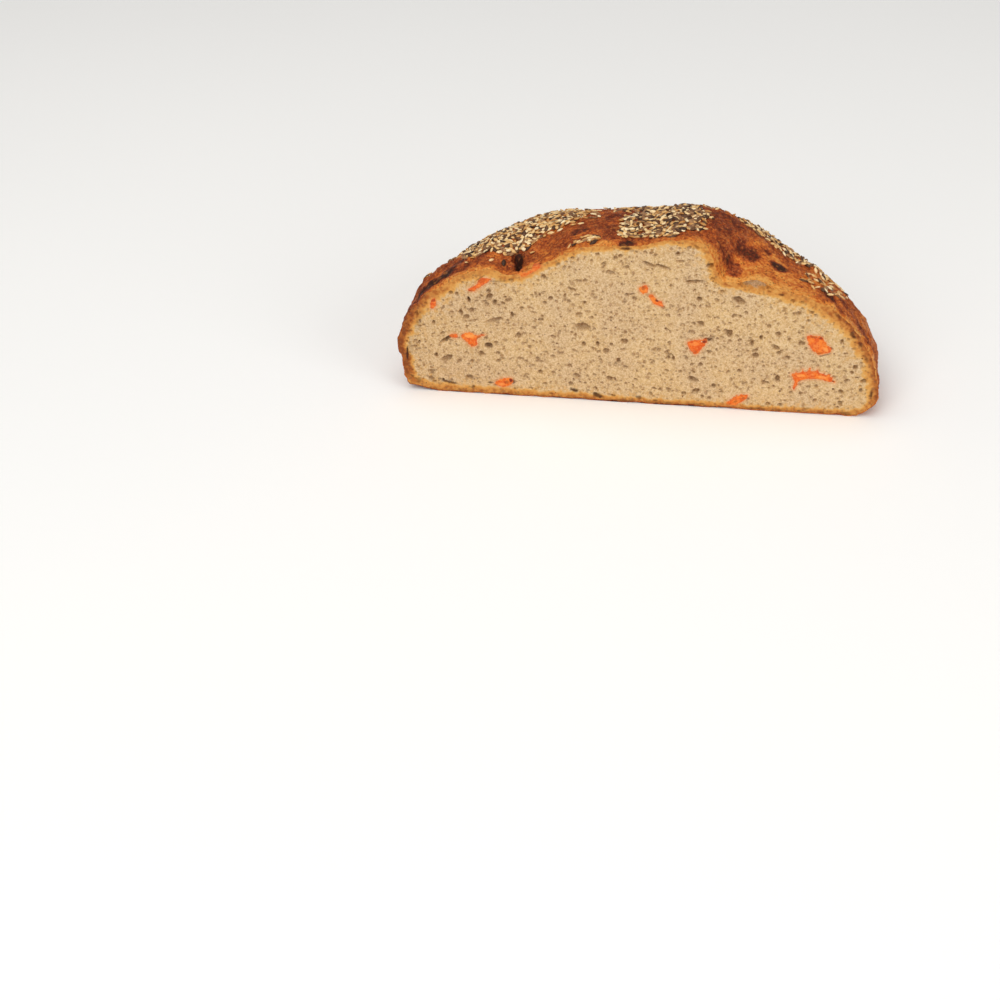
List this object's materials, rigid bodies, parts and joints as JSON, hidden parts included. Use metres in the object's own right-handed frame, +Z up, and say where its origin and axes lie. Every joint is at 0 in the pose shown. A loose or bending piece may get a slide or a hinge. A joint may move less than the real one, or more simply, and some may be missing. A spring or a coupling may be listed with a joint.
{
  "type": "cut seeded carrot bread loaf",
  "caption": "Half of a round hearth-baked loaf standing on its flat base, with a plane cut face, a domed seeded crust split by a burst, and carrot shreds in the crumb.",
  "frame": {"origin": "on the flat base, under the middle of the piece", "axes": "+X along the cut face, to the right as one looks at it; +Y from the cut face to the rounded back; +Z up"},
  "size_m": [0.2174, 0.1036, 0.085],
  "materials": {
    "crust": "matte",
    "crumb": "matte",
    "sesame": "satin",
    "linseed": "satin",
    "carrot": "satin"
  },
  "bodies": {
    "root": {"loaf": "crust", "carrot_rim_shred": "carrot", "carrot_curl": "carrot", "carrot_crust_shred": "carrot", "carrot_crumb_left": "carrot", "carrot_wedge_left": "carrot", "carrot_base_left": "carrot", "carrot_shred_upper": "carrot", "carrot_shred_slant": "carrot", "carrot_wedge_middle": "carrot", "carrot_wedge_right": "carrot", "carrot_comb": "carrot", "carrot_base_right": "carrot"}
  },
  "joints": []
}
